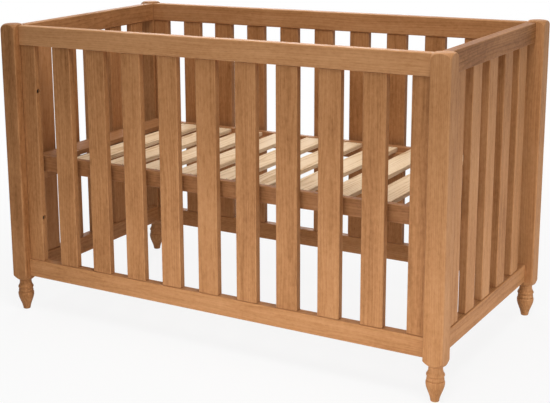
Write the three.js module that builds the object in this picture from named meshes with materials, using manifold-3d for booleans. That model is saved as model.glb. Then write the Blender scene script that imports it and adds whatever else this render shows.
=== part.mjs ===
// Baby crib with turned feet, flat slats and a height-adjustable slatted mattress base.
// Millimetres, +Z up, X along the crib, origin on the floor under its middle.
import * as THREE from 'three';
import { mergeVertices } from 'three/addons/utils/BufferGeometryUtils.js';
import Module from 'manifold-3d';

const wasm = await Module();
wasm.setup();

// ---- Driving dimensions -------------------------------------------------
const CRIB_LENGTH = 1300; // over the posts, along X
const CRIB_WIDTH = 711; // over the posts, along Y
const RAIL_TOP = 820; // top face of the upper rails
const FIT = 0.3; // clearance between pieces that meet

const POST_SIZE = 50; // square section of the posts
const POST_RISE = 4; // the post tops stand this far above the rails
const POST_EASE = 4; // rounding of the posts' long edges
const TURNING_REACH = 11; // how far the turned outline stands outside the post's flats
const DOME_HEIGHT = 18; // turned rounding at the top of a post
const DOME_REACH = 15; // how far that rounding reaches towards the axis
const DOME_FLAT = 19; // radius of the level disc left on top
const SHOULDER_TOP = 106; // where the square section begins above the foot
const NECK_TOP = 88; // where the shoulder meets the turned foot

const RAIL_THICK = 28; // all eight rails of the sides and ends
const TOP_RAIL_HEIGHT = 53;
const BOTTOM_RAIL_HEIGHT = 50;
const BOTTOM_RAIL_BASE = 103; // underside of the lower rails
const RAIL_EASE = 3;
const SIDE_STEP = 3; // side rails' inner face, outward from the posts' inner face
const END_STEP = 0; // the same for the end rails
const END_TENON = { thick: 12, shoulder: 8, length: 16 }; // end rail into post

const SLAT_WIDTH = 59;
const SLAT_THICK = 20;
const SLAT_EASE = 2.5;
const SIDE_SLATS = 9;
const END_SLATS = 5;
const STILE_WIDTH = 49.7; // board that closes each side panel against its posts
const STILE_GAP = 61; // opening between a stile and the first slat
const SLAT_TENON = { thick: 9, shoulder: 8, length: 14 }; // slats and stiles into rails

const BOLT_SPREAD = 360; // between the two assembly bolts of a stile
const BOLT_HOLE = 7;
const BOLT_SINK = { diameter: 13, depth: 12 }; // recess for the bolt head
const INSERT_HOLE = { diameter: 8, depth: 22 }; // threaded insert in the post

const BASE_TOP = 452; // top of the mattress base's rails at the upper setting
const BASE_SIDE_GAP = 15.5; // from the stiles to the base rails
const BASE_END_GAP = 7; // from the end rails to the base
const BASE_RAIL = { thick: 20, height: 44, ledge: 14, ease: 2 };
const END_BOARD = { width: 76, thick: 14, ease: 2 };
const BASE_SLAT = { count: 9, width: 71, thick: 12, ease: 2 };
const BEARER = { width: 40, height: 20, ease: 2 };

const ROUND_SEGMENTS = 20; // turned feet
const HOLE_SEGMENTS = 16;
const EASE_SEGMENTS = 2;

// ---- Places shared by pieces that meet ----------------------------------
const halfLength = CRIB_LENGTH / 2;
const halfWidth = CRIB_WIDTH / 2;
const postTop = RAIL_TOP + POST_RISE;
const postInnerX = halfLength - POST_SIZE;
const postInnerY = halfWidth - POST_SIZE;
const sidePlane = postInnerY + SIDE_STEP + RAIL_THICK / 2; // middle of side rails and slats
const endPlane = postInnerX + END_STEP + RAIL_THICK / 2; // middle of end rails and slats
const slatBottom = BOTTOM_RAIL_BASE + BOTTOM_RAIL_HEIGHT + FIT;
const slatTop = RAIL_TOP - TOP_RAIL_HEIGHT - FIT;
const slatLength = slatTop - slatBottom;
const slatMiddle = (slatTop + slatBottom) / 2;
const railLevels = {
  top: { height: TOP_RAIL_HEIGHT, z: RAIL_TOP - TOP_RAIL_HEIGHT / 2, sign: -1 },
  bottom: { height: BOTTOM_RAIL_HEIGHT, z: BOTTOM_RAIL_BASE + BOTTOM_RAIL_HEIGHT / 2, sign: 1 },
};
const sideRailLength = 2 * (postInnerX - FIT);
const endRailLength = 2 * (postInnerY - FIT);
const stileMiddle = postInnerX - FIT - STILE_WIDTH / 2;
const boltLevels = [slatMiddle + BOLT_SPREAD / 2, slatMiddle - BOLT_SPREAD / 2];

const stileInner = sidePlane - SLAT_THICK / 2;
const baseHalfWidth = stileInner - BASE_SIDE_GAP;
const baseHalfLength = postInnerX + END_STEP - BASE_END_GAP;
const baseRailBottom = BASE_TOP - BASE_RAIL.height;
const baseBoardHalf = baseHalfWidth - BASE_RAIL.thick - FIT;
const ledgeTop = BASE_TOP - END_BOARD.thick - FIT;

const sideSlatXs = spread(SIDE_SLATS, 2 * (stileMiddle - STILE_WIDTH / 2 - STILE_GAP), SLAT_WIDTH);
const endSlatGap = (2 * postInnerY - END_SLATS * SLAT_WIDTH) / (END_SLATS + 1);
const endSlatYs = spread(END_SLATS, 2 * (postInnerY - endSlatGap), SLAT_WIDTH);
const baseClear = 2 * (baseHalfLength - END_BOARD.width);
const baseSlatGap = (baseClear - BASE_SLAT.count * BASE_SLAT.width) / (BASE_SLAT.count + 1);
const baseSlatXs = spread(BASE_SLAT.count, baseClear - 2 * baseSlatGap, BASE_SLAT.width);

// ---- Materials ----------------------------------------------------------
const stainedWood = () => new THREE.MeshStandardMaterial({ color: 0xa97448, roughness: 0.55, metalness: 0 });
const paleWood = () => new THREE.MeshStandardMaterial({ color: 0xe2bd8a, roughness: 0.7, metalness: 0 });

// ---- Shape helpers ------------------------------------------------------
/** Middles of `count` equal boards spread evenly over `span`, outer edge to outer edge. */
function spread(count, span, width) {
  const pitch = (span - width) / (count - 1);
  return Array.from({ length: count }, (_, i) => (i - (count - 1) / 2) * pitch);
}

/** A closed manifold solid from a three.js geometry. */
function toSolid(geometry) {
  const bare = geometry.clone();
  bare.deleteAttribute('normal');
  bare.deleteAttribute('uv');
  const merged = mergeVertices(bare, 1e-4);
  return new wasm.Manifold(new wasm.Mesh({
    numProp: 3,
    vertProperties: new Float32Array(merged.attributes.position.array),
    triVerts: new Uint32Array(merged.index.array),
  }));
}

/** A three.js geometry from a manifold solid. */
function toGeometry(solid) {
  const mesh = solid.getMesh();
  const geometry = new THREE.BufferGeometry();
  geometry.setAttribute('position', new THREE.BufferAttribute(mesh.vertProperties, 3));
  geometry.setIndex(new THREE.BufferAttribute(mesh.triVerts, 1));
  geometry.computeVertexNormals();
  return geometry;
}

/** Rectangle with rounded corners, centred on the origin. */
function easedRectangle(width, height, radius) {
  const x = width / 2 - radius;
  const y = height / 2 - radius;
  const shape = new THREE.Shape();
  shape.absarc(x, y, radius, 0, Math.PI / 2);
  shape.absarc(-x, y, radius, Math.PI / 2, Math.PI);
  shape.absarc(-x, -y, radius, Math.PI, 1.5 * Math.PI);
  shape.absarc(x, -y, radius, 1.5 * Math.PI, 2 * Math.PI);
  shape.closePath();
  return shape;
}

/** Board of eased rectangular section, centred, lying along the named axis.
 *  Size is given as [x, y, z]. */
function board(size, axis, ease) {
  const [x, y, z] = size;
  const section = { x: [z, y, x], y: [x, z, y], z: [x, y, z] }[axis];
  const geometry = new THREE.ExtrudeGeometry(easedRectangle(section[0], section[1], ease), {
    depth: section[2], bevelEnabled: false, curveSegments: EASE_SEGMENTS,
  });
  geometry.translate(0, 0, -section[2] / 2);
  if (axis === 'x') geometry.rotateY(Math.PI / 2);
  if (axis === 'y') geometry.rotateX(-Math.PI / 2);
  return geometry;
}

/** Plain block, centred at a point. */
function block(size, at) {
  return toSolid(new THREE.BoxGeometry(...size).translate(...at));
}

/** Round bar between two points on one line along X. */
function barAlongX(diameter, from, to, y, z) {
  const geometry = new THREE.CylinderGeometry(diameter / 2, diameter / 2, to - from, HOLE_SEGMENTS);
  return toSolid(geometry.rotateZ(Math.PI / 2).translate((from + to) / 2, y, z));
}

/** Adds a named mesh to a group at a place. */
function addPiece(group, name, geometry, material, at) {
  const mesh = new THREE.Mesh(geometry, material);
  mesh.name = name;
  mesh.position.set(...at);
  group.add(mesh);
}

// ---- Posts --------------------------------------------------------------
/** Half outline of the turned work on a post, from the floor up, as [radius, height]. */
function turnedOutline() {
  const outline = [
    [0, 0], [9, 0], [10.3, 1.2], [10.8, 5], [13.5, 15], [18, 27], [21.4, 37], [22.7, 46], [22.3, 50.5],
    [20.9, 52.4], [20.9, 53.6], [21.2, 56], [20.2, 61], [19.8, 62.5], [21.6, 65], [22, 67.5], [21.2, 70],
    [18.8, 74], [17.2, 80], [17, NECK_TOP], [20, NECK_TOP + 1.8], [26, NECK_TOP + 6.5],
    [31.5, SHOULDER_TOP - 6], [POST_SIZE / 2 + TURNING_REACH, SHOULDER_TOP],
  ];
  const domeBase = postTop - DOME_HEIGHT;
  const steps = 5;
  outline.push([POST_SIZE / 2 + TURNING_REACH, domeBase]);
  for (let i = 1; i <= steps; i++) {
    const angle = (i / steps) * (Math.PI / 2);
    outline.push([DOME_FLAT + DOME_REACH * Math.cos(angle), domeBase + DOME_HEIGHT * Math.sin(angle)]);
  }
  outline.push([0, postTop]);
  return outline.map(([radius, height]) => new THREE.Vector2(radius, height));
}

/** Post with its foot, round the origin, for the corner at signs (sx, sy). */
function post(sx, sy) {
  const bar = toSolid(board([POST_SIZE, POST_SIZE, postTop], 'z', POST_EASE).translate(0, 0, postTop / 2));
  const turned = toSolid(new THREE.LatheGeometry(turnedOutline(), ROUND_SEGMENTS).rotateX(Math.PI / 2));
  let solid = bar.intersect(turned);
  const centre = POST_SIZE / 2;
  for (const { height, z } of Object.values(railLevels)) {
    const tenonX = sx * (endPlane - (halfLength - centre));
    const depth = END_TENON.length + FIT;
    solid = solid.subtract(block(
      [END_TENON.thick + 2 * FIT, depth + FIT, height - 2 * END_TENON.shoulder + 2 * FIT],
      [tenonX, -sy * (centre - (depth - FIT) / 2), z],
    ));
  }
  for (const z of boltLevels) {
    const y = sy * (sidePlane - (halfWidth - centre));
    const ends = [-sx * (centre + 1), -sx * (centre - INSERT_HOLE.depth)].sort((a, b) => a - b);
    solid = solid.subtract(barAlongX(INSERT_HOLE.diameter, ends[0], ends[1], y, z));
  }
  return toGeometry(solid);
}

// ---- Side and end panels ------------------------------------------------
/** Upright board with a tenon at each end, centred; `across` is the axis of its width. */
function uprightSolid(width, across) {
  const size = across === 'x' ? [width, SLAT_THICK, slatLength] : [SLAT_THICK, width, slatLength];
  const tenonWide = width - 2 * SLAT_TENON.shoulder;
  const tenonLong = slatLength + 2 * SLAT_TENON.length;
  const tenon = across === 'x' ? [tenonWide, SLAT_TENON.thick, tenonLong] : [SLAT_TENON.thick, tenonWide, tenonLong];
  return toSolid(board(size, 'z', SLAT_EASE)).add(block(tenon, [0, 0, 0]));
}

/** Stile: an upright with two counterbored bolt holes towards the post at sign sx. */
function stile(sx) {
  let solid = uprightSolid(STILE_WIDTH, 'x');
  const half = STILE_WIDTH / 2;
  for (const level of boltLevels) {
    const z = level - slatMiddle;
    const sink = [-sx * (half + 1), -sx * (half - BOLT_SINK.depth)].sort((a, b) => a - b);
    solid = solid.subtract(barAlongX(BOLT_HOLE, -half - 1, half + 1, 0, z));
    solid = solid.subtract(barAlongX(BOLT_SINK.diameter, sink[0], sink[1], 0, z));
  }
  return toGeometry(solid);
}

/** Side rail along X or end rail along Y with a mortise for every upright that enters it.
 *  `uprights` lists [place along the rail, width]; `level` says which way they enter. */
function rail(axis, length, level, uprights, tenoned) {
  const size = axis === 'x' ? [length, RAIL_THICK, level.height] : [RAIL_THICK, length, level.height];
  let solid = toSolid(board(size, axis, RAIL_EASE));
  if (tenoned) {
    const tall = level.height - 2 * END_TENON.shoulder;
    solid = solid.add(block([END_TENON.thick, length + 2 * END_TENON.length, tall], [0, 0, 0]));
  }
  const depth = SLAT_TENON.length + 2 * FIT;
  for (const [place, width] of uprights) {
    const wide = width - 2 * SLAT_TENON.shoulder + 2 * FIT;
    const thick = SLAT_TENON.thick + 2 * FIT;
    const z = level.sign * (level.height / 2 - depth / 2 + FIT);
    solid = solid.subtract(axis === 'x'
      ? block([wide, thick, depth], [place, 0, z])
      : block([thick, wide, depth], [0, place, z]));
  }
  return toGeometry(solid);
}

/** Everything of the crib that stands still. */
function frame() {
  const group = new THREE.Group();
  const sides = { front: -1, rear: 1 };
  const ends = { left: -1, right: 1 };
  for (const [side, sy] of Object.entries(sides)) {
    for (const [end, sx] of Object.entries(ends)) {
      const at = [sx * (halfLength - POST_SIZE / 2), sy * (halfWidth - POST_SIZE / 2), 0];
      addPiece(group, `post_${side}_${end}`, post(sx, sy), stainedWood(), at);
      addPiece(group, `stile_${side}_${end}`, stile(sx), stainedWood(), [sx * stileMiddle, sy * sidePlane, slatMiddle]);
    }
    const uprights = sideSlatXs.map((x) => [x, SLAT_WIDTH]);
    uprights.push([-stileMiddle, STILE_WIDTH], [stileMiddle, STILE_WIDTH]);
    for (const [name, level] of Object.entries(railLevels)) {
      addPiece(group, `${name}_rail_${side}`, rail('x', sideRailLength, level, uprights, false),
        stainedWood(), [0, sy * sidePlane, level.z]);
    }
    sideSlatXs.forEach((x, i) => {
      addPiece(group, `slat_${side}_${i + 1}`, toGeometry(uprightSolid(SLAT_WIDTH, 'x')),
        stainedWood(), [x, sy * sidePlane, slatMiddle]);
    });
  }
  for (const [end, sx] of Object.entries(ends)) {
    const uprights = endSlatYs.map((y) => [y, SLAT_WIDTH]);
    for (const [name, level] of Object.entries(railLevels)) {
      addPiece(group, `${name}_rail_${end}`, rail('y', endRailLength, level, uprights, true),
        stainedWood(), [sx * endPlane, 0, level.z]);
    }
    endSlatYs.forEach((y, i) => {
      addPiece(group, `slat_${end}_${i + 1}`, toGeometry(uprightSolid(SLAT_WIDTH, 'y')),
        stainedWood(), [sx * endPlane, y, slatMiddle]);
    });
  }
  return group;
}

// ---- Mattress base ------------------------------------------------------
/** Long rail of the base with a rebate that leaves an inner ledge for the boards. */
function baseRail(sy) {
  const thick = BASE_RAIL.thick + BASE_RAIL.ledge;
  const bar = toSolid(board([2 * baseHalfLength, thick, BASE_RAIL.height], 'x', BASE_RAIL.ease));
  const rebate = BASE_TOP - ledgeTop;
  const cut = block(
    [2 * baseHalfLength + 2, BASE_RAIL.ledge + 2, rebate + 2],
    [0, -sy * (thick / 2 - BASE_RAIL.ledge / 2 + 1), BASE_RAIL.height / 2 - rebate / 2 + 1],
  );
  return toGeometry(bar.subtract(cut));
}

/** The base, which is bolted into the crib at one of three heights. */
function mattressBase() {
  const group = new THREE.Group();
  for (const [side, sy] of Object.entries({ front: -1, rear: 1 })) {
    const y = sy * (baseHalfWidth - (BASE_RAIL.thick + BASE_RAIL.ledge) / 2);
    addPiece(group, `base_rail_${side}`, baseRail(sy), stainedWood(), [0, y, BASE_TOP - BASE_RAIL.height / 2]);
  }
  for (const [end, sx] of Object.entries({ left: -1, right: 1 })) {
    addPiece(group, `base_end_board_${end}`,
      board([END_BOARD.width, 2 * baseBoardHalf, END_BOARD.thick], 'y', END_BOARD.ease), stainedWood(),
      [sx * (baseHalfLength - END_BOARD.width / 2), 0, BASE_TOP - END_BOARD.thick / 2]);
    addPiece(group, `base_bearer_${end}`,
      board([BEARER.width, 2 * (stileInner - FIT), BEARER.height], 'y', BEARER.ease), stainedWood(),
      [sx * (postInnerX - FIT - BEARER.width / 2), 0, baseRailBottom - FIT - BEARER.height / 2]);
  }
  baseSlatXs.forEach((x, i) => {
    addPiece(group, `base_slat_${i + 1}`,
      board([BASE_SLAT.width, 2 * baseBoardHalf, BASE_SLAT.thick], 'y', BASE_SLAT.ease), paleWood(),
      [x, 0, ledgeTop + FIT + BASE_SLAT.thick / 2]);
  });
  return group;
}

const crib = new THREE.Group();
crib.add(frame(), mattressBase());

export default crib;
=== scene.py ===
"""Visual model of a baby crib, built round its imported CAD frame.

Lengths are in metres in the frame's own axes: X runs along the crib, -Y is its
front and +Z is up. Places come from the frame's nodes. The sizes given here are
those of the work on each piece: its easing, turning, rebates and fixings.
"""

import logging
import math
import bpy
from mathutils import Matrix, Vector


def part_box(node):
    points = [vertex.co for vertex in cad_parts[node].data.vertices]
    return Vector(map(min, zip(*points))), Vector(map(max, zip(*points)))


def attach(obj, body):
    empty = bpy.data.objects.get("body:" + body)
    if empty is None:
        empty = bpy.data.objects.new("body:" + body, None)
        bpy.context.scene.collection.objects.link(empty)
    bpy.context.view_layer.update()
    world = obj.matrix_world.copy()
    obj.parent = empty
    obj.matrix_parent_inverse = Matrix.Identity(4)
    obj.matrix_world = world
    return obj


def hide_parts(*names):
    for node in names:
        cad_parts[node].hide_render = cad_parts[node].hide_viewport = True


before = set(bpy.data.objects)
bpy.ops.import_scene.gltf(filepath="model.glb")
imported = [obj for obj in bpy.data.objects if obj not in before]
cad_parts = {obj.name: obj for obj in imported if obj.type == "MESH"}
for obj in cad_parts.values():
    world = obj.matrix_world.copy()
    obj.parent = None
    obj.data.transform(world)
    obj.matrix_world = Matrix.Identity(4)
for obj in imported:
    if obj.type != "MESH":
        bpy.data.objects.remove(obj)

import zlib
from collections.abc import Iterable, Sequence
from dataclasses import dataclass, field, replace
from enum import Enum

import bmesh
import bpy
from mathutils import Matrix, Vector

log = logging.getLogger("baby_crib")

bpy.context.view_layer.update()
MM = 0.001
SAME_PLACE = 1e-7
ALONG = 0.999
SEED_STEPS = 10007
ROUND_STEPS = 40
MIX_FACTOR, MIX_A, MIX_B, MIX_RESULT = 0, 6, 7, 2
WHITE = (1.0, 1.0, 1.0)

Triple = tuple[float, float, float]
Colour = Triple


class Body(Enum):
    """The two bodies of the crib, by their names in the frame."""

    FRAME = "crib_frame"
    BASE = "mattress_base"


class Panel(Enum):
    """One of the crib's four panels."""

    @property
    def word(self) -> str:
        """The panel's word in the names of pieces and nodes."""
        return self.name.lower()


class Side(Panel):
    """A long side of the crib. Its value is its sign along Y."""

    FRONT = -1
    REAR = 1


class End(Panel):
    """An end of the crib. Its value is its sign along X."""

    LEFT = -1
    RIGHT = 1


class Grain(Enum):
    """Which axis the fibres of a board run along."""

    X = 0
    Y = 1
    Z = 2


class Slot(Enum):
    """The finish slots."""

    POST = "stained_post"
    RAIL = "stained_rail"
    SLAT = "stained_slat"
    BASE = "stained_base"
    PINE = "pale_pine"


# ---- Shader maths ---------------------------------------------------------
@dataclass(frozen=True)
class Noise:
    """A noise: its repeats a metre along each axis, its octaves and how they fade."""

    repeats: Triple
    detail: float = 2.0
    rough: float = 0.5


class Expr:
    """One value inside a material, so that shader maths reads as arithmetic.

    Args:
        shader: The material that the value belongs to.
        socket: The node output that carries it.
    """

    def __init__(self, shader: "Shader", socket: bpy.types.NodeSocket) -> None:
        """Wraps a node output."""
        self.shader = shader
        self.socket = socket

    def math(self, operation: str, *others: "Value", turned: bool = False) -> "Expr":
        """Adds a Math node for this value and others.

        Args:
            operation: The Math node's operation.
            others: Its further inputs.
            turned: Whether this value comes last.

        Returns:
            The node's result.
        """
        values = [self, *others]
        if turned:
            values.reverse()
        inputs = dict(enumerate(values))
        node = self.shader.node("ShaderNodeMath", {"operation": operation}, inputs)
        return Expr(self.shader, node.outputs[0])

    def __add__(self, other: "Value") -> "Expr":
        """Sum."""
        return self.math("ADD", other)

    __radd__ = __add__

    def __sub__(self, other: "Value") -> "Expr":
        """Difference."""
        return self.math("SUBTRACT", other)

    def __rsub__(self, other: "Value") -> "Expr":
        """Difference with this value taken away."""
        return self.math("SUBTRACT", other, turned=True)

    def __mul__(self, other: "Value") -> "Expr":
        """Product."""
        return self.math("MULTIPLY", other)

    __rmul__ = __mul__

    def __truediv__(self, other: "Value") -> "Expr":
        """Quotient."""
        return self.math("DIVIDE", other)

    def __rtruediv__(self, other: "Value") -> "Expr":
        """Quotient with this value below."""
        return self.math("DIVIDE", other, turned=True)

    def __pow__(self, other: "Value") -> "Expr":
        """Power."""
        return self.math("POWER", other)

    def __abs__(self) -> "Expr":
        """Size without sign."""
        return self.math("ABSOLUTE")

    def least(self, other: "Value") -> "Expr":
        """The smaller of two values."""
        return self.math("MINIMUM", other)

    def most(self, other: "Value") -> "Expr":
        """The larger of two values."""
        return self.math("MAXIMUM", other)

    def fraction(self) -> "Expr":
        """The part after the decimal point."""
        return self.math("FRACT")

    def root(self) -> "Expr":
        """Square root."""
        return self.math("SQRT")

    def ease(self, start: float, end: float) -> "Expr":
        """A smooth rise from 0 at start to 1 at end."""
        settings = {"interpolation_type": "SMOOTHSTEP"}
        node = self.shader.node("ShaderNodeMapRange", settings, {0: self, 1: start, 2: end})
        return Expr(self.shader, node.outputs[0])


Value = Expr | float


class Shader:
    """A material or a world whose nodes are made one by one.

    Args:
        owner: The new material or world.
    """

    def __init__(self, owner: bpy.types.Material | bpy.types.World) -> None:
        """Empties the owner's node tree."""
        self.owner = owner
        self.owner.use_nodes = True
        self.tree = self.owner.node_tree
        self.tree.nodes.clear()

    @classmethod
    def of(cls, name: str) -> "Shader":
        """The shader of a new material with this name."""
        return cls(bpy.data.materials.new(name))

    def node(self, kind: str, settings: dict, inputs: dict) -> bpy.types.Node:
        """Makes any node.

        Args:
            kind: The node's type.
            settings: Its properties, or the stops of its ramp.
            inputs: Values or links of its sockets, by name or number.

        Returns:
            The new node.
        """
        made = self.tree.nodes.new(kind)
        for key, value in settings.items():
            if key == "stops":
                self._fill_ramp(made.color_ramp, value)
            else:
                setattr(made, key, value)
        for key, value in inputs.items():
            if isinstance(value, Expr):
                self.tree.links.new(value.socket, made.inputs[key])
            else:
                made.inputs[key].default_value = value
        return made

    @staticmethod
    def _fill_ramp(ramp: bpy.types.ColorRamp, stops: Iterable[tuple[float, Colour]]) -> None:
        """Gives a colour ramp its stops."""
        for index, (place, colour) in enumerate(stops):
            stop = ramp.elements[index] if index < 2 else ramp.elements.new(place)
            stop.position = place
            stop.color = (*colour, 1.0)

    def pick(self, node: bpy.types.Node, output: str | int = 0) -> Expr:
        """One output of a node as a value."""
        return Expr(self, node.outputs[output])

    def attribute(self, name: str, output: str) -> Expr:
        """A value stored on the mesh."""
        return self.pick(self.node("ShaderNodeAttribute", {"attribute_name": name}, {}), output)

    def place(self) -> Expr:
        """The place in the piece's own coordinates."""
        return self.pick(self.node("ShaderNodeTexCoord", {}, {}), "Object")

    def background_ray(self) -> Expr:
        """1 for the rays that show the background to the eye or in a gloss, else 0."""
        path = self.node("ShaderNodeLightPath", {}, {})
        return self.pick(path, "Is Camera Ray").most(self.pick(path, "Is Glossy Ray"))

    def split(self, vector: Expr) -> tuple[Expr, Expr, Expr]:
        """The three parts of a vector."""
        node = self.node("ShaderNodeSeparateXYZ", {}, {0: vector})
        return self.pick(node, 0), self.pick(node, 1), self.pick(node, 2)

    def join(self, x: Value, y: Value, z: Value) -> Expr:
        """A vector of three parts."""
        return self.pick(self.node("ShaderNodeCombineXYZ", {}, {0: x, 1: y, 2: z}))

    def vector(self, operation: str, first: Expr, second: Expr | Triple) -> Expr:
        """Vector maths on two vectors."""
        inputs = {0: first, 1: second}
        return self.pick(self.node("ShaderNodeVectorMath", {"operation": operation}, inputs))

    def mix(self, factor: Value, first: Expr | Colour, second: Expr | Colour) -> Expr:
        """Mixes two colours.

        Args:
            factor: The share of the second colour.
            first: The colour at 0.
            second: The colour at 1.

        Returns:
            The mixed colour.
        """
        inputs: dict = {MIX_FACTOR: factor}
        for key, value in ((MIX_A, first), (MIX_B, second)):
            inputs[key] = value if isinstance(value, Expr) else (*value, 1.0)
        return self.pick(self.node("ShaderNodeMix", {"data_type": "RGBA"}, inputs), MIX_RESULT)

    def noise(self, place: Expr, kind: Noise) -> Expr:
        """The value of a noise at a place."""
        inputs = {
            "Vector": self.vector("MULTIPLY", place, kind.repeats),
            "Scale": 1.0,
            "Detail": kind.detail,
            "Roughness": kind.rough,
        }
        return self.pick(self.node("ShaderNodeTexNoise", {}, inputs))

    def bump(self, height: Expr, depth: float, strength: float) -> Expr:
        """A normal that is tilted by a height."""
        inputs = {"Height": height, "Distance": depth, "Strength": strength}
        return self.pick(self.node("ShaderNodeBump", {}, inputs))

    def close(self, surface: bpy.types.Node) -> bpy.types.Material | bpy.types.World:
        """Joins a surface node to the output.

        Args:
            surface: The last shader node.

        Returns:
            The finished material or world.
        """
        is_world = isinstance(self.owner, bpy.types.World)
        kind = "ShaderNodeOutputWorld" if is_world else "ShaderNodeOutputMaterial"
        self.node(kind, {}, {"Surface": self.pick(surface)})
        return self.owner


# ---- Finishes -------------------------------------------------------------
@dataclass(frozen=True)
class Knots:
    """How small knots lie in the cells of a wood, by shares of a cell."""

    repeats: Triple = (16.0, 4.0, 5.0)
    scatter: float = 0.9
    chosen: tuple[float, float] = (0.78, 0.8)
    rim: tuple[float, float] = (0.05, 0.2)
    core: tuple[float, float] = (0.02, 0.075)
    rim_share: float = 0.5


@dataclass(frozen=True)
class WoodFinish:
    """A wood and what was put on it.

    The pattern follows each board's own attributes: `grain` is the place across,
    through and along the board, `half` its half sizes, `seed` its own number and
    `tone` how much paler or darker than the others it is made: partly its own colour,
    partly painted light and shade where the light falls on it unevenly.
    """

    name: str
    deep: Colour
    body: Colour
    pale: Colour
    # Colour of the paler eased edges: partly wear through the stain, partly a painted highlight.
    worn: Colour

    streak: Noise = Noise((62.0, 62.0, 1.3), 3.0, 0.55)
    fibre: Noise = Noise((430.0, 430.0, 7.0), 3.0, 0.62)
    blotch: Noise = Noise((11.0, 11.0, 5.0))
    mottle: Noise = Noise((125.0, 125.0, 75.0), 3.0, 0.6)
    wander: Noise = Noise((5.0, 5.0, 1.9), 2.0, 0.45)
    pore: Noise = Noise((1300.0, 1300.0, 38.0), 1.0)
    rub: Noise = Noise((90.0, 90.0, 30.0), 2.0, 0.6)

    seed_shift: Triple = (7.31, 3.77, 11.9)
    seed_side: float = 13.7
    seed_heart: float = 29.3
    seed_board: float = 5.3

    heart_spread: float = 80 * MM
    heart_nearest: float = 30 * MM
    heart_further: float = 50 * MM
    ring: float = 4.6 * MM
    ring_wander: float = 34 * MM
    ring_waver: float = 2.5 * MM
    late_start: float = 0.35
    late_full: float = 0.93
    pore_start: float = 0.66
    pore_full: float = 0.74

    deep_at: float = 0.1
    body_at: float = 0.5
    pale_at: float = 0.9
    ring_depth: float = 0.09
    ring_lift: float = 0.4
    streak_depth: float = 0.40
    fibre_depth: float = 0.44
    blotch_depth: float = 0.44
    mottle_depth: float = 0.42
    board_depth: float = 0.16
    pore_depth: float = 0.30
    knot_depth: float = 0.0
    knots: Knots = Knots()

    # Edge lightening: partly wear through the stain, partly a painted highlight along the eased
    # edges.
    wear: float = 0.22
    wear_start: float = 0.2 * MM
    wear_reach: float = 2.6 * MM
    wear_evenness: float = 0.45
    rub_start: float = 0.3
    rub_full: float = 0.7
    # Darker board ends: partly end grain that takes more stain, partly painted shade in the joints
    # where the ends meet other parts.
    end_stain: float = 0.52
    end_start: float = 0.39 * MM
    end_reach: float = 1.3 * MM
    # Darker rings at the turned grooves: partly stain gathered in them, partly painted shade in the
    # crevices.
    grooves: tuple[float, ...] = ()
    groove_stain: float = 0.6
    groove_start: float = 0.26 * MM
    groove_half: float = 1.3 * MM

    gloss: float = 0.12
    roughness: float = 0.52
    fibre_roughness: float = 0.16
    late_roughness: float = 0.05
    worn_smoothness: float = 0.06

    relief: float = 0.35
    relief_depth: float = 0.25 * MM
    fibre_relief: float = 0.6
    late_relief: float = 0.5
    pore_relief: float = 0.8
    streak_relief: float = 0.3

    def material(self) -> bpy.types.Material:
        """Builds the finish.

        Returns:
            A procedural wood material.
        """
        s = Shader.of(self.name)
        place, seed = s.attribute("grain", "Vector"), s.attribute("seed", "Fac")
        across, through, along = s.split(place)
        spot = s.vector("ADD", place, s.join(*(seed * shift for shift in self.seed_shift)))

        streak = s.noise(spot, self.streak) - 0.5
        fibre = s.noise(spot, self.fibre) - 0.5
        blotch = s.noise(spot, self.blotch) - 0.5
        mottle = s.noise(spot, self.mottle) - 0.5
        pore = s.noise(spot, self.pore).ease(self.pore_start, self.pore_full)
        board = (seed * self.seed_board).fraction() - 0.5
        late = self._late_wood(s, spot, seed, across, through, streak)
        tone = (
            blotch * self.blotch_depth
            + streak * self.streak_depth
            + fibre * self.fibre_depth
            + mottle * self.mottle_depth
            # the board's tone shift: partly its own colour, partly painted light and shade
            + s.attribute("tone", "Fac")
            + board * self.board_depth
            - late * self.ring_depth
            - pore * self.pore_depth
            + self.body_at + self.ring_depth * self.ring_lift
        )
        stops = ((self.deep_at, self.deep), (self.body_at, self.body), (self.pale_at, self.pale))
        colour = s.pick(s.node("ShaderNodeValToRGB", {"stops": stops}, {0: tone}))
        if self.knot_depth:
            colour = self._knots(s, spot, colour)

        half = s.split(s.attribute("half", "Vector"))
        gaps = [size - abs(part) for size, part in zip(half, (across, through, along))]
        edge = gaps[0].least(gaps[1]).most(gaps[0].most(gaps[1]).least(gaps[2]))
        # Paler eased edges, patchy along their length: partly wear through the stain, partly a
        # painted highlight.
        rub = s.noise(spot, self.rub).ease(self.rub_start, self.rub_full)
        rubbed = rub * (1.0 - self.wear_evenness) + self.wear_evenness
        worn = (1.0 - edge.ease(self.wear_start, self.wear_reach)) * rubbed
        colour = s.mix(worn * self.wear, colour, self.worn)
        # Darker board ends: partly end grain that takes more stain, partly painted shade in the
        # joints.
        end = 1.0 - gaps[2].ease(self.end_start, self.end_reach)
        colour = s.mix(end * self.end_stain, colour, self.deep)
        # Darker rings at the foot's grooves: partly stain gathered there, partly painted shade in
        # the crevices.
        for height in self.grooves:
            away = abs(along + half[2] - height)
            inside = 1.0 - away.ease(self.groove_start, self.groove_half)
            colour = s.mix(inside * self.groove_stain, colour, self.deep)

        roughness = self.roughness + fibre * self.fibre_roughness + late * self.late_roughness
        height = (
            fibre * self.fibre_relief
            - late * self.late_relief
            - pore * self.pore_relief
            + streak * self.streak_relief
        )
        inputs = {
            "Base Color": colour,
            "Roughness": roughness - worn * self.worn_smoothness,
            "Specular IOR Level": self.gloss,
            "Normal": s.bump(height, self.relief_depth, self.relief),
        }
        return s.close(s.node("ShaderNodeBsdfPrincipled", {}, inputs))

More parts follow.
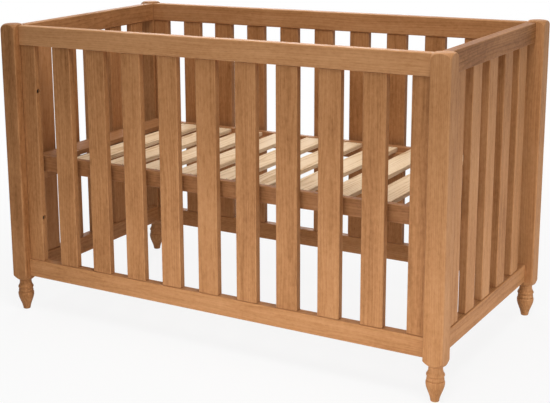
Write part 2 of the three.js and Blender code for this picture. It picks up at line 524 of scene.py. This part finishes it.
    def _late_wood(
        self, s: Shader, spot: Expr, seed: Expr, across: Expr, through: Expr, streak: Expr,
    ) -> Expr:
        """The dark side of each growth ring, round a heart that each board has its own place for.

        Args:
            s: The material in hand.
            spot: The board's own place, moved by its seed.
            seed: The board's own number.
            across: The place across the board.
            through: The place through the board.
            streak: The streaks, which make the rings waver.

        Returns:
            1 in the late wood, falling to 0 in the early wood.
        """
        wander = s.noise(spot, self.wander) - 0.5
        side = ((seed * self.seed_side).fraction() - 0.5) * self.heart_spread
        depth = (seed * self.seed_heart).fraction() * self.heart_further + self.heart_nearest
        reach = ((across + side) ** 2.0 + (through + depth) ** 2.0).root()
        bent = reach + wander * self.ring_wander + streak * self.ring_waver
        turn = (bent / self.ring).fraction()
        return turn.ease(self.late_start, self.late_full) * (1.0 - turn.ease(self.late_full, 1.0))

    def _knots(self, s: Shader, spot: Expr, colour: Expr) -> Expr:
        """Adds a few small knots.

        Args:
            s: The material in hand.
            spot: The board's own place, moved by its seed.
            colour: The colour so far.

        Returns:
            The colour with knots.
        """
        knots = self.knots
        place = s.vector("MULTIPLY", spot, knots.repeats)
        inputs = {"Vector": place, "Scale": 1.0, "Randomness": knots.scatter}
        cells = s.node("ShaderNodeTexVoronoi", {}, inputs)
        away = s.pick(cells, "Distance")
        chosen = s.split(s.pick(cells, "Color"))[0].ease(*knots.chosen)
        rim = (1.0 - away.ease(*knots.rim)) * chosen
        core = (1.0 - away.ease(*knots.core)) * chosen
        colour = s.mix(rim * self.knot_depth * knots.rim_share, colour, self.body)
        return s.mix(core * self.knot_depth, colour, self.deep)


@dataclass(frozen=True)
class SteelFinish:
    """Dark, bronzed steel of the fixings."""

    name: str = "bronzed_steel"
    light: Colour = (0.13, 0.11, 0.09)
    dull: Colour = (0.05, 0.04, 0.03)
    cloud: Noise = Noise((700.0, 700.0, 700.0), 3.0, 0.6)
    scratch: Noise = Noise((300.0, 5000.0, 5000.0))
    cloud_start: float = 0.3
    cloud_full: float = 0.7
    roughness: float = 0.34
    roughness_spread: float = 0.25
    scratch_depth: float = 0.03 * MM
    scratch_strength: float = 0.3

    def material(self) -> bpy.types.Material:
        """Builds the finish.

        Returns:
            A procedural metal material.
        """
        s = Shader.of(self.name)
        place = s.place()
        cloud = s.noise(place, self.cloud)
        clouded = cloud.ease(self.cloud_start, self.cloud_full)
        height = s.noise(place, self.scratch)
        inputs = {
            "Base Color": s.mix(clouded, self.dull, self.light),
            "Metallic": 1.0,
            "Roughness": self.roughness + (cloud - 0.5) * self.roughness_spread,
            "Normal": s.bump(height, self.scratch_depth, self.scratch_strength),
        }
        return s.close(s.node("ShaderNodeBsdfPrincipled", {}, inputs))


@dataclass(frozen=True)
class FloorFinish:
    """Pale studio floor that keeps a soft shadow and turns white further out."""

    name: str = "pale_floor"
    colour: Colour = (0.88, 0.88, 0.88)
    lift: float = 0.88
    near: float = 0.9
    far: float = 2.6

    def material(self) -> bpy.types.Material:
        """Builds the finish.

        Returns:
            A floor that is seen near white.
        """
        s = Shader.of(self.name)
        matt = s.node("ShaderNodeBsdfDiffuse", {}, {"Color": (*self.colour, 1.0)})
        glow = s.node("ShaderNodeEmission", {}, {"Strength": 1.0})
        across, along, _ = s.split(s.place())
        away = (across**2.0 + along**2.0).root().ease(self.near, self.far)
        white = s.background_ray() * (away * (1.0 - self.lift) + self.lift)
        inputs = {0: white, 1: s.pick(matt), 2: s.pick(glow)}
        return s.close(s.node("ShaderNodeMixShader", {}, inputs))


# ---- Solids ---------------------------------------------------------------
@dataclass(frozen=True)
class Block:
    """An upright box in the frame's axes."""

    low: Vector
    high: Vector

    @classmethod
    def of(cls, node: str, tenon: float = 0.0, grain: Grain = Grain.Z) -> "Block":
        """The box of a CAD node without its tenons.

        Args:
            node: The node's name.
            tenon: Length of the tenon at each end.
            grain: The axis that the tenons run along.

        Returns:
            The box between the shoulders.
        """
        low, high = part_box(node)
        low[grain.value] += tenon
        high[grain.value] -= tenon
        return cls(low, high)

    @property
    def centre(self) -> Vector:
        """Its middle."""
        return (self.low + self.high) / 2

    @property
    def size(self) -> Vector:
        """Its three lengths."""
        return self.high - self.low


@dataclass(frozen=True)
class Cut:
    """Easing of a board: its long edges and its ends."""

    ease: float
    end: float
    steps: int = 5
    end_steps: int = 2


def bevel(bm: bmesh.types.BMesh, edges: list[bmesh.types.BMEdge], width: float, steps: int) -> None:
    """Rounds edges.

    Args:
        bm: The mesh in hand.
        edges: The edges to round.
        width: How far the rounding reaches from each edge.
        steps: How many faces it has.
    """
    bmesh.ops.bevel(
        bm, geom=edges, offset=width, offset_type="OFFSET", affect="EDGES",
        segments=steps, profile=0.5, material=-1, clamp_overlap=True,
    )


def long_edges(bm: bmesh.types.BMesh, axis: int) -> list[bmesh.types.BMEdge]:
    """The edges that run along an axis."""
    return [
        e for e in bm.edges
        if abs((e.verts[0].co - e.verts[1].co).normalized()[axis]) > ALONG
    ]


def ease_edges(
    bm: bmesh.types.BMesh, block: Block, axis: int, cut: Cut,
    sharp: Sequence[bmesh.types.BMEdge] = (),
) -> None:
    """Eases a board's long edges, then its ends.

    Args:
        bm: The mesh in hand.
        block: The board's box.
        axis: The axis that the board runs along.
        cut: Its easing.
        sharp: Long edges that are left as they are.
    """
    bevel(bm, [e for e in long_edges(bm, axis) if e not in sharp], cut.ease, cut.steps)
    planes = (block.low[axis], block.high[axis])
    ends = [
        e for e in bm.edges
        if any(all(abs(v.co[axis] - plane) < SAME_PLACE for v in e.verts) for plane in planes)
    ]
    bevel(bm, ends, cut.end, cut.end_steps)


def eased_board(block: Block, grain: Grain, cut: Cut) -> bmesh.types.BMesh:
    """A board with rounded long edges and slightly eased ends.

    Args:
        block: The board's box.
        grain: The axis that it runs along.
        cut: Its easing.

    Returns:
        The board's mesh, in place.
    """
    bm = bmesh.new()
    bmesh.ops.create_cube(bm, size=1.0)
    bmesh.ops.scale(bm, vec=block.size, verts=bm.verts)
    bmesh.ops.translate(bm, vec=block.centre, verts=bm.verts)
    ease_edges(bm, block, grain.value, cut)
    return bm


def spun(outline: list[tuple[float, float]], steps: int) -> bmesh.types.BMesh:
    """A turned solid on the Z axis.

    Args:
        outline: Its half outline as (radius, height), from pole to pole.
        steps: How many faces go round it.

    Returns:
        The closed mesh.
    """
    bm = bmesh.new()
    verts = [bm.verts.new((radius, 0.0, height)) for radius, height in outline]
    edges = [bm.edges.new(pair) for pair in zip(verts, verts[1:])]
    bmesh.ops.spin(
        bm, geom=verts + edges, cent=(0, 0, 0), axis=(0, 0, 1), dvec=(0, 0, 0),
        angle=math.tau, steps=steps, use_merge=True, use_duplicate=False,
    )
    bmesh.ops.remove_doubles(bm, verts=bm.verts, dist=SAME_PLACE)
    bmesh.ops.recalc_face_normals(bm, faces=bm.faces)
    return bm


def smooth_line(points: list[tuple[float, float]], steps: int) -> list[tuple[float, float]]:
    """A smooth line through points, by Hermite spans.

    Args:
        points: The points of one curve, end to end.
        steps: How many parts each span is cut into.

    Returns:
        The denser line, with the same ends.
    """
    line = []
    padded = [Vector(point) for point in (points[0], *points, points[-1])]
    for before, start, end, after in zip(padded, padded[1:], padded[2:], padded[3:]):
        leaving, arriving = (end - before) / 2, (after - start) / 2
        for k in range(steps):
            t = k / steps
            bend = leaving * (t - 2 * t * t + t**3) + arriving * (t**3 - t * t)
            line.append(tuple(start + (end - start) * (3 * t * t - 2 * t**3) + bend))
    return [*line, points[-1]]


def score(bm: bmesh.types.BMesh, height: float) -> None:
    """Adds a loop of edges round a shape, so that a bore there leaves no face with a hole.

    Args:
        bm: The mesh in hand.
        height: Where the loop goes.
    """
    geom = [*bm.verts, *bm.edges, *bm.faces]
    bmesh.ops.bisect_plane(bm, geom=geom, plane_co=(0, 0, height), plane_no=(0, 0, 1))


def carve(bm: bmesh.types.BMesh, cutters: list[bmesh.types.BMesh]) -> bmesh.types.BMesh:
    """Cuts shapes out of a solid.

    Args:
        bm: The solid.
        cutters: The shapes to take away.

    Returns:
        What is left.
    """
    objects = []
    for index, mesh in enumerate([bm, *cutters]):
        data = bpy.data.meshes.new(f"carve_{index}")
        mesh.to_mesh(data)
        mesh.free()
        objects.append(bpy.data.objects.new(data.name, data))
        bpy.context.scene.collection.objects.link(objects[-1])
    for cutter in objects[1:]:
        modifier = objects[0].modifiers.new(cutter.name, "BOOLEAN")
        modifier.operation, modifier.solver, modifier.object = "DIFFERENCE", "EXACT", cutter
    left = bmesh.new()
    left.from_object(objects[0], bpy.context.evaluated_depsgraph_get())
    for spent in objects:
        data = spent.data
        bpy.data.objects.remove(spent)
        bpy.data.meshes.remove(data)
    bmesh.ops.remove_doubles(left, verts=left.verts, dist=SAME_PLACE)
    return left


# ---- The bench: where a mesh becomes a piece ------------------------------
# Each board's shift paler or darker. This is partly the boards' own colour and partly painted light
# and shade: some shifts copy how the light falls, such as the bottom front rail made paler where
# the floor's bounce lights it and the left front post made darker where less light reaches it.
BOARD_TONES_AND_PAINTED_LIGHT = {
    "top_rail_front": 0.26,
    "bottom_rail_front": 0.14,
    "top_rail_right": -0.28,
    "bottom_rail_right": 0.06,
    "top_rail_left": -0.08,
    "stile_front_right": -0.20,
    "post_front_left": -0.10,
    "slat_front_1": -0.05,
    "slat_front_8": -0.05,
    "slat_front_9": -0.06,
    "slat_right_1": 0.06,
    "slat_right_2": 0.08,
    "slat_right_3": 0.08,
}


@dataclass
class Bench:
    """Turns meshes into named pieces that ride on their bodies."""

    crease: float = math.radians(32)
    made: list[bpy.types.Object] = field(default_factory=list)

    def seed(self, name: str) -> float:
        """A number from 0 to 1 that belongs to a piece's name."""
        return zlib.crc32(name.encode()) % SEED_STEPS / SEED_STEPS

    def piece(
        self, name: str, bm: bmesh.types.BMesh, body: Body, finish: bpy.types.Material,
        node: str | None = None,
    ) -> bpy.types.Object:
        """Makes the finished object of a mesh.

        Args:
            name: The piece's name.
            bm: Its mesh, in place. It is used up.
            body: The body that it moves with.
            finish: Its material.
            node: The CAD node that it stands for.

        Returns:
            The new object.
        """
        for face in bm.faces:
            face.smooth = True
        for edge in bm.edges:
            edge.smooth = len(edge.link_faces) == 2 and edge.calc_face_angle(0.0) < self.crease
        data = bpy.data.meshes.new(name)
        bm.to_mesh(data)
        bm.free()
        data.materials.append(finish)
        made = bpy.data.objects.new(name, data)
        bpy.context.scene.collection.objects.link(made)
        modifier = made.modifiers.new("even_shading", "WEIGHTED_NORMAL")
        modifier.keep_sharp = True
        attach(made, body.value)
        if node:
            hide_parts(node)
        self.made.append(made)
        log.info("%s: %d faces, rides on %s", name, len(data.polygons), body.value)
        return made

    def wooden(
        self, node: str, bm: bmesh.types.BMesh, block: Block, grain: Grain, body: Body,
        finish: bpy.types.Material,
    ) -> bpy.types.Object:
        """Makes a wooden piece and stores how its grain lies.

        Args:
            node: The CAD node that it stands for.
            bm: Its mesh, in place.
            block: The board's box.
            grain: The axis that the fibres run along.
            body: The body that it moves with.
            finish: Its material.

        Returns:
            The new object.
        """
        made = self.piece(f"{node}_wood", bm, body, finish, node)
        size, centre, data = block.size, block.centre, made.data
        others = sorted((a for a in range(3) if a != grain.value), key=lambda a: -size[a])
        order = (*others, grain.value)
        count = len(data.vertices)
        places = [v.co[a] - centre[a] for v in data.vertices for a in order]
        halves = [size[a] / 2 for a in order] * count
        for name, values in (("grain", places), ("half", halves)):
            data.attributes.new(name, "FLOAT_VECTOR", "POINT").data.foreach_set("vector", values)
        # tone: the board's paler or darker shift, partly its own colour and partly painted light
        # and shade
        for name, value in (("seed", self.seed(node)), ("tone", BOARD_TONES_AND_PAINTED_LIGHT.get(node, 0.0))):
            data.attributes.new(name, "FLOAT", "POINT").data.foreach_set("value", [value] * count)
        return made


# ---- Posts ----------------------------------------------------------------
@dataclass
class Post:
    """A square post turned with its foot from one length of wood."""

    ease: float = 4 * MM
    dome_height: float = 18 * MM
    dome_reach: float = 15 * MM
    dome_flat: float = 19 * MM
    straight_from: float = 125 * MM
    straight_gap: float = 6 * MM
    flat_steps: int = 20
    corner_steps: int = 6
    curve_steps: int = 9
    foot_steps: int = 4
    shoulder_steps: int = 6
    foot: tuple[tuple[tuple[float, float], ...], ...] = (
        ((0, 0), (9, 0)),
        ((9, 0), (10.1, 0.9), (10.5, 2)),
        (
            (10.5, 2), (10.8, 5), (13.5, 15), (18, 27),
            (21.4, 37), (22.7, 46), (22.3, 50.5), (20.9, 52.4),
        ),
        ((20.9, 52.4), (20.4, 53.0)),
        ((20.4, 53.0), (20.9, 53.6)),
        ((20.9, 53.6), (21.2, 56), (20.2, 61), (19.5, 62.5)),
        ((19.5, 62.5), (21.6, 65), (22, 67.5), (21.2, 70)),
        ((21.2, 70), (18.8, 74), (17.2, 80), (17, 88)),
    )
    shoulder: tuple[tuple[float, float], ...] = (
        (17, 88), (20, 89.8), (26, 94.5), (31.5, 100), (36, 106),
    )

    def limit(self, turn: float, half: float) -> float:
        """How far the eased square reaches from its axis.

        Args:
            turn: Angle from the middle of a flat, from 0 to 45 degrees.
            half: Half the post's width.

        Returns:
            The reach at that angle.
        """
        start = math.atan2(half - self.ease, half)
        if turn <= start:
            return half / math.cos(turn)
        corner = half - self.ease
        both = corner * (math.cos(turn) + math.sin(turn))
        return both + math.sqrt(max(0.0, both * both - 2 * corner * corner + self.ease**2))

    def shoulder_height(self, radius: float) -> float:
        """Height of the turned shoulder at a radius."""
        line = smooth_line([(r * MM, z * MM) for r, z in self.shoulder], self.shoulder_steps)
        for (r0, z0), (r1, z1) in zip(line, line[1:]):
            if r0 <= radius <= r1:
                return z0 + (z1 - z0) * (radius - r0) / (r1 - r0)
        return line[-1][1]

    def column(self, reach: float, top: float) -> list[tuple[float, float]]:
        """The outline of one column from floor to top, as (radius, height).

        Args:
            reach: Reach of the square section in the column's direction.
            top: Height of the post.

        Returns:
            As many points whatever the reach, so that creases follow one loop.
        """
        points: list[tuple[float, float]] = [(0.0, 0.0)]
        for curve in self.foot:
            steps = 1 if len(curve) == 2 else self.foot_steps
            points += smooth_line([(r * MM, z * MM) for r, z in curve], steps)[1:]
        neck = points[-1][0]
        for i in range(1, self.curve_steps + 1):
            radius = neck + (reach - neck) * i / self.curve_steps
            points.append((radius, self.shoulder_height(radius)))
        base = top - self.dome_height
        points += [(reach, self.straight_from), (reach, base - self.straight_gap)]
        start = math.acos(max(-1.0, min(1.0, (reach - self.dome_flat) / self.dome_reach)))
        for i in range(self.curve_steps + 1):
            turn = start + (math.pi / 2 - start) * i / self.curve_steps
            radius = self.dome_flat + self.dome_reach * math.cos(turn)
            points.append((radius, base + self.dome_height * math.sin(turn)))
        return [*points, (0.0, top)]

    def mesh(self, block: Block) -> bmesh.types.BMesh:
        """Turns the post, then draws its round columns in to the eased square.

        Args:
            block: The post's box.

        Returns:
            The post's mesh, in place.
        """
        half, top = block.size.x / 2, block.high.z
        steps = 4 * (self.flat_steps + self.corner_steps)
        widest = self.column(self.limit(math.pi / 4, half), top)
        bm = spun(widest, steps)
        columns: dict[int, tuple[float, list[tuple[float, float]]]] = {}
        for vert in bm.verts:
            radius = math.hypot(vert.co.x, vert.co.y)
            row = min(range(len(widest)), key=lambda i: math.dist(widest[i], (radius, vert.co.z)))
            place = round(math.atan2(vert.co.y, vert.co.x) / math.tau * steps) % steps
            if place not in columns:
                columns[place] = self._square_column(place, half, top)
            angle, outline = columns[place]
            radius, height = outline[row]
            vert.co = (radius * math.cos(angle), radius * math.sin(angle), height)
        centre = block.centre
        bmesh.ops.translate(bm, vec=(centre.x, centre.y, 0.0), verts=bm.verts)
        return bm

    def _square_column(
        self, place: int, half: float, top: float,
    ) -> tuple[float, list[tuple[float, float]]]:
        """Where a column of the round post goes on the square one.

        Args:
            place: The column's number round the post.
            half: Half the post's width.
            top: Height of the post.

        Returns:
            The column's angle and its outline.
        """
        start = math.atan2(half - self.ease, half)
        quarter, part = divmod(place, self.flat_steps + self.corner_steps)
        if part <= self.flat_steps:
            turn = -start + 2 * start * part / self.flat_steps
        else:
            past = (part - self.flat_steps) / self.corner_steps
            turn = start + (math.pi / 2 - 2 * start) * past
        return turn + quarter * math.pi / 2, self.column(self.limit(abs(turn), half), top)

    def build(self, bench: Bench, finish: bpy.types.Material) -> None:
        """Makes the four posts."""
        for side in Side:
            for end in End:
                node = f"post_{side.word}_{end.word}"
                block = Block.of(node)
                bench.wooden(node, self.mesh(block), block, Grain.Z, Body.FRAME, finish)


# ---- Rails, slats and stiles ----------------------------------------------
@dataclass
class Panels:
    """The two long sides and the two ends: rails, flat slats and stiles."""

    rail_cut: Cut = Cut(3 * MM, 0.4 * MM)
    slat_cut: Cut = Cut(2.5 * MM, 1.6 * MM)
    end_tenon: float = 16 * MM
    slat_tenon: float = 14 * MM
    side_slats: int = 9
    end_slats: int = 5
    bolt_spread: float = 360 * MM
    sink_radius: float = 6.5 * MM
    sink_depth: float = 12 * MM
    sink_rim: float = 0.7 * MM
    sink_past: float = 1 * MM
    score_shift: float = 0.4 * MM

    def rails(self, bench: Bench, finish: bpy.types.Material) -> None:
        """Makes the eight rails."""
        for level in ("top", "bottom"):
            for place in (*Side, *End):
                node = f"{level}_rail_{place.word}"
                is_side = isinstance(place, Side)
                grain = Grain.X if is_side else Grain.Y
                block = Block.of(node, 0.0 if is_side else self.end_tenon, grain)
                bm = eased_board(block, grain, self.rail_cut)
                bench.wooden(node, bm, block, grain, Body.FRAME, finish)

    def slats(self, bench: Bench, finish: bpy.types.Material) -> None:
        """Makes the slats of all four panels."""
        for place in (*Side, *End):
            count = self.side_slats if isinstance(place, Side) else self.end_slats
            for number in range(1, count + 1):
                node = f"slat_{place.word}_{number}"
                block = Block.of(node, self.slat_tenon)
                bm = eased_board(block, Grain.Z, self.slat_cut)
                bench.wooden(node, bm, block, Grain.Z, Body.FRAME, finish)

    def stiles(
        self, bench: Bench, finish: bpy.types.Material, bolts: "Bolts", steel: bpy.types.Material,
    ) -> None:
        """Makes the four stiles with their bolt recesses, and the bolts in them.

        Args:
            bench: Where the pieces are finished.
            finish: Material of the stiles.
            bolts: The bolts.
            steel: Material of the bolts.
        """
        for side in Side:
            for end in End:
                corner, sign = f"{side.word}_{end.word}", end.value
                node = f"stile_{corner}"
                block = Block.of(node, self.slat_tenon)
                mouth = block.low.x if sign > 0 else block.high.x
                board, cutters = eased_board(block, Grain.Z, self.slat_cut), []
                for level, up in (("upper", 1), ("lower", -1)):
                    height = block.centre.z + up * self.bolt_spread / 2
                    score(board, height + self.score_shift)
                    middle = Vector((mouth, block.centre.y, height))
                    cutters.append(self._recess(middle, sign))
                    seat = middle + Vector((sign * self.sink_depth, 0.0, 0.0))
                    bolts.build(bench, f"bolt_{corner}_{level}", seat, sign, steel)
                bm = carve(board, cutters)
                bench.wooden(node, bm, block, Grain.Z, Body.FRAME, finish)

    def _recess(self, mouth: Vector, sign: int) -> bmesh.types.BMesh:
        """The shape that bores a bolt recess with an eased rim.

        Args:
            mouth: Middle of the recess on the stile's side.
            sign: Which way along X the recess goes in.

        Returns:
            The cutter, in place. It starts outside the wood, at the rim's own slope.
        """
        wide = self.sink_radius + self.sink_rim + self.sink_past
        outline = [
            (0, -self.sink_past), (wide, -self.sink_past), (self.sink_radius, self.sink_rim),
            (self.sink_radius, self.sink_depth), (0, self.sink_depth),
        ]
        bm = spun(outline, ROUND_STEPS)
        lay_along_x(bm, mouth, sign)
        return bm


def lay_along_x(bm: bmesh.types.BMesh, place: Vector, sign: int) -> None:
    """Turns a shape from the Z axis onto X and moves it.

    Args:
        bm: The shape, round the Z axis.
        place: Where its origin goes.
        sign: Which way along X its +Z points.
    """
    bmesh.ops.rotate(bm, matrix=Matrix.Rotation(sign * math.pi / 2, 3, "Y"), verts=bm.verts)
    bmesh.ops.translate(bm, vec=place, verts=bm.verts)


@dataclass
class Bolts:
    """Socket-headed bolts that draw the stiles to the posts."""

    head_radius: float = 5.1 * MM
    head_height: float = 7 * MM
    head_ease: float = 0.7 * MM
    head_fullness: float = 0.3
    socket_width: float = 5 * MM
    socket_depth: float = 3 * MM
    seat_gap: float = 0.05 * MM

    def build(
        self, bench: Bench, name: str, seat: Vector, sign: int, steel: bpy.types.Material,
    ) -> None:
        """Makes one bolt.

        Args:
            bench: Where the piece is finished.
            name: The bolt's name.
            seat: Middle of the recess's floor.
            sign: Which way along X the bolt goes in.
            steel: Its material.
        """
        r, e, h = self.head_radius, self.head_ease, self.head_height
        under, shoulder = e / 2, e * self.head_fullness
        outline = [
            (0, 0), (r - under, 0), (r, under), (r, h - e),
            (r - shoulder, h - shoulder), (r - e, h), (0, h),
        ]
        socket = bmesh.new()
        reach = self.socket_width / math.sqrt(3)
        bmesh.ops.create_cone(
            socket, cap_ends=True, segments=6,
            radius1=reach, radius2=reach, depth=self.socket_depth * 2,
        )
        bmesh.ops.translate(socket, vec=(0, 0, h), verts=socket.verts)
        bm = carve(spun(outline, ROUND_STEPS), [socket])
        lay_along_x(bm, seat - Vector((sign * self.seat_gap, 0, 0)), -sign)
        bench.piece(name, bm, Body.FRAME, steel)


# ---- Mattress base --------------------------------------------------------
@dataclass
class MattressBase:
    """The slatted base: rebated rails, end boards, pine slats and bearers."""

    rail_cut: Cut = Cut(2 * MM, 0.5 * MM, 4)
    board_cut: Cut = Cut(2 * MM, 0.6 * MM, 4)
    ledge: float = 14 * MM
    fit: float = 0.3 * MM
    slats: int = 9
    pin_radius: float = 1.7 * MM
    pin_rise: float = 0.35 * MM
    pin_inset: float = 8 * MM
    pin_spread: float = 42 * MM
    pin_sides: int = 14
    pin_rings: int = 6

    def rail(self, block: Block, side: Side, ledge_top: float) -> bmesh.types.BMesh:
        """A long rail with the rebate that carries the slats.

        Args:
            block: The rail's box.
            side: The side of the crib that it is on.
            ledge_top: Height of the rebate's floor.

        Returns:
            The rail's mesh, in place.
        """
        inner, outer = (block.low.y, block.high.y)[:: side.value]
        wall = inner + side.value * self.ledge
        low, high = block.low.z, block.high.z
        section = [
            (outer, low), (outer, high), (wall, high),
            (wall, ledge_top), (inner, ledge_top), (inner, low),
        ]
        bm = bmesh.new()
        face = bm.faces.new([bm.verts.new((block.low.x, y, z)) for y, z in section])
        grown = bmesh.ops.extrude_face_region(bm, geom=[face])["geom"]
        moved = [g for g in grown if isinstance(g, bmesh.types.BMVert)]
        bmesh.ops.translate(bm, vec=(block.size.x, 0, 0), verts=moved)
        bmesh.ops.recalc_face_normals(bm, faces=bm.faces)
        corner = Vector((wall, ledge_top))
        inside = [
            e for e in long_edges(bm, Grain.X.value)
            if all((v.co.yz - corner).length < SAME_PLACE for v in e.verts)
        ]
        ease_edges(bm, block, Grain.X.value, self.rail_cut, inside)
        return bm

    def build(
        self, bench: Bench, stained: bpy.types.Material, pine: bpy.types.Material,
        steel: bpy.types.Material,
    ) -> None:
        """Makes the whole base.

        Args:
            bench: Where the pieces are finished.
            stained: Material of the rails, end boards and bearers.
            pine: Material of the slats.
            steel: Material of the slats' pins.
        """
        ledge_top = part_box("base_slat_1")[0].z - self.fit
        for side in Side:
            node = f"base_rail_{side.word}"
            block = Block.of(node)
            bm = self.rail(block, side, ledge_top)
            bench.wooden(node, bm, block, Grain.X, Body.BASE, stained)
            self._pins(bench, side, steel)
        crossings = [(f"{kind}_{end.word}", stained, Slot.BASE)
                     for kind in ("base_end_board", "base_bearer") for end in End]
        crossings += [(f"base_slat_{number}", pine, Slot.PINE)
                      for number in range(1, self.slats + 1)]
        for node, finish, slot in crossings:
            block = Block.of(node)
            bm = eased_board(block, Grain.Y, self.board_cut)
            bench.wooden(node, bm, block, Grain.Y, Body.BASE, finish)

    def _pins(self, bench: Bench, side: Side, steel: bpy.types.Material) -> None:
        """Makes the small pins that hold the slats to one rail.

        Args:
            bench: Where the piece is finished.
            side: The side that the rail is on.
            steel: Their material.
        """
        pins = bmesh.new()
        flat = Matrix.Diagonal((1, 1, self.pin_rise / self.pin_radius, 1))
        for number in range(1, self.slats + 1):
            block = Block.of(f"base_slat_{number}")
            edge = block.high.y if side is Side.REAR else block.low.y
            line = edge - side.value * self.pin_inset
            for shift in (-self.pin_spread / 2, self.pin_spread / 2):
                place = (block.centre.x + shift, line, block.high.z + self.pin_rise / 2)
                bmesh.ops.create_uvsphere(
                    pins, u_segments=self.pin_sides, v_segments=self.pin_rings,
                    radius=self.pin_radius, matrix=Matrix.Translation(place) @ flat,
                )
        bench.piece(f"slat_pins_{side.word}", pins, Body.BASE, steel)


# ---- Studio ---------------------------------------------------------------
@dataclass(frozen=True)
class Lamp:
    """A soft oblong lamp that is aimed at a point."""

    name: str
    place: Triple
    aim: Triple
    size: tuple[float, float]
    power: float
    bounce: bool = False

    def build(self, floor: bpy.types.Object) -> None:
        """Makes the lamp.

        Args:
            floor: The floor. A lamp that stands for its bounce leaves it unlit.
        """
        data = bpy.data.lights.new(self.name, "AREA")
        data.shape, data.energy = "RECTANGLE", self.power
        data.size, data.size_y = self.size
        lamp = bpy.data.objects.new(self.name, data)
        lamp.location = self.place
        lamp.visible_camera = False
        way = Vector(self.aim) - Vector(self.place)
        lamp.rotation_euler = way.to_track_quat("-Z", "Y").to_euler()
        bpy.context.scene.collection.objects.link(lamp)
        if self.bounce:
            unlit = bpy.data.collections.new(f"{self.name}_unlit")
            unlit.objects.link(floor)
            unlit.collection_objects[0].light_linking.link_state = "EXCLUDE"
            lamp.light_linking.receiver_collection = unlit


@dataclass
class Studio:
    """Floor, daylight, lamps and camera."""

    floor_half: float = 15.0
    daylight: float = 0.05
    lens: float = 78.49
    sensor: float = 36.0
    azimuth: float = 32.80
    pitch: float = 12.99
    roll: float = -0.95
    place: Triple = (1.5895, -2.8152, 1.2024)
    shift: tuple[float, float] = (0.1317, -0.0838)
    lamps: tuple[Lamp, ...] = (
        Lamp("key_lamp", (0.9, -1.0, 2.7), (0.3, -0.3, 0.3), (1.2, 1.2), 39.0),
        Lamp("top_lamp", (-0.4, 0.2, 3.2), (0.0, 0.0, 0.3), (2.0, 2.0), 36.0),
        Lamp("front_lamp", (0.6, -2.4, 1.2), (0.6, -0.35, 0.3), (0.8, 0.8), 4.0),
        Lamp("front_bounce", (0.35, -1.0, 0.05), (0.35, -0.35, 0.0), (1.7, 0.45), 10.0, True),
        Lamp("side_bounce", (1.5, 0.0, 0.10), (0.65, 0.0, 0.05), (0.9, 0.6), 8.7, True),
        Lamp("back_wall", (-1.9, 3.3, 1.5), (0.0, 0.0, 0.6), (1.8, 1.8), 42.0),
    )

    def floor(self) -> bpy.types.Object:
        """Makes the floor.

        Returns:
            The floor.
        """
        bm = bmesh.new()
        bmesh.ops.create_grid(bm, x_segments=1, y_segments=1, size=self.floor_half)
        data = bpy.data.meshes.new("studio_floor")
        bm.to_mesh(data)
        bm.free()
        data.materials.append(FloorFinish().material())
        floor = bpy.data.objects.new("studio_floor", data)
        bpy.context.scene.collection.objects.link(floor)
        return floor

    def world(self) -> None:
        """Makes an even daylight that is seen as white."""
        world = bpy.data.worlds.new("daylight")
        bpy.context.scene.world = world
        s = Shader(world)
        level = s.background_ray() * (1.0 - self.daylight) + self.daylight
        s.close(s.node("ShaderNodeBackground", {}, {"Color": (*WHITE, 1.0), "Strength": level}))

    def camera(self) -> None:
        """Makes the camera."""
        data = bpy.data.cameras.new("camera")
        data.lens, data.sensor_width = self.lens, self.sensor
        data.shift_x, data.shift_y = self.shift
        camera = bpy.data.objects.new("camera", data)
        turn = Matrix.Rotation(math.radians(self.azimuth), 4, "Z")
        tip = Matrix.Rotation(math.radians(90 - self.pitch), 4, "X")
        lean = Matrix.Rotation(math.radians(self.roll), 4, "Z")
        camera.matrix_world = Matrix.Translation(self.place) @ turn @ tip @ lean
        bpy.context.scene.collection.objects.link(camera)
        bpy.context.scene.camera = camera

    def build(self) -> None:
        """Makes the whole studio."""
        bpy.context.scene.view_settings.view_transform = "Standard"
        floor = self.floor()
        self.world()
        for lamp in self.lamps:
            lamp.build(floor)
        self.camera()


# ---- Everything -----------------------------------------------------------
STAIN = WoodFinish(
    "stained_wood",
    deep=(0.200, 0.076, 0.022),
    body=(0.420, 0.192, 0.074),
    pale=(0.565, 0.293, 0.132),
    worn=(0.655, 0.374, 0.188),
)
# Posts: no darker ends; darker rings at the foot's grooves, partly stain and partly painted shade.
POST_STAIN = replace(STAIN, name="stained_post_wood", end_stain=0.0, grooves=(53 * MM, 88.5 * MM))
BASE_STAIN = replace(
    STAIN,
    name="stained_base_wood",
    deep=(0.180, 0.068, 0.022),
    body=(0.348, 0.155, 0.061),
    pale=(0.478, 0.234, 0.102),
    worn=(0.560, 0.300, 0.140),
)
PINE = WoodFinish(
    "pale_pine",
    deep=(0.500, 0.290, 0.135),
    body=(0.790, 0.580, 0.365),
    pale=(0.880, 0.700, 0.490),
    worn=(0.860, 0.690, 0.480),
    ring=5.5 * MM,
    ring_depth=0.28,
    pore_depth=0.05,
    knot_depth=0.8,
    end_stain=0.2,
    roughness=0.62,
)


def main() -> None:
    """Builds every sub-assembly and the studio."""
    logging.basicConfig(level=logging.INFO, format="%(name)s %(message)s")
    bench = Bench()
    finishes = (STAIN, POST_STAIN, BASE_STAIN, PINE, SteelFinish())
    stain, post_stain, base_stain, pine, steel = (finish.material() for finish in finishes)
    Post().build(bench, post_stain)
    panels = Panels()
    panels.rails(bench, stain)
    panels.slats(bench, stain)
    panels.stiles(bench, stain, Bolts(), steel)
    MattressBase().build(bench, base_stain, pine, steel)
    Studio().build()
    log.info("%d pieces made", len(bench.made))


if __name__ == "__main__":
    main()
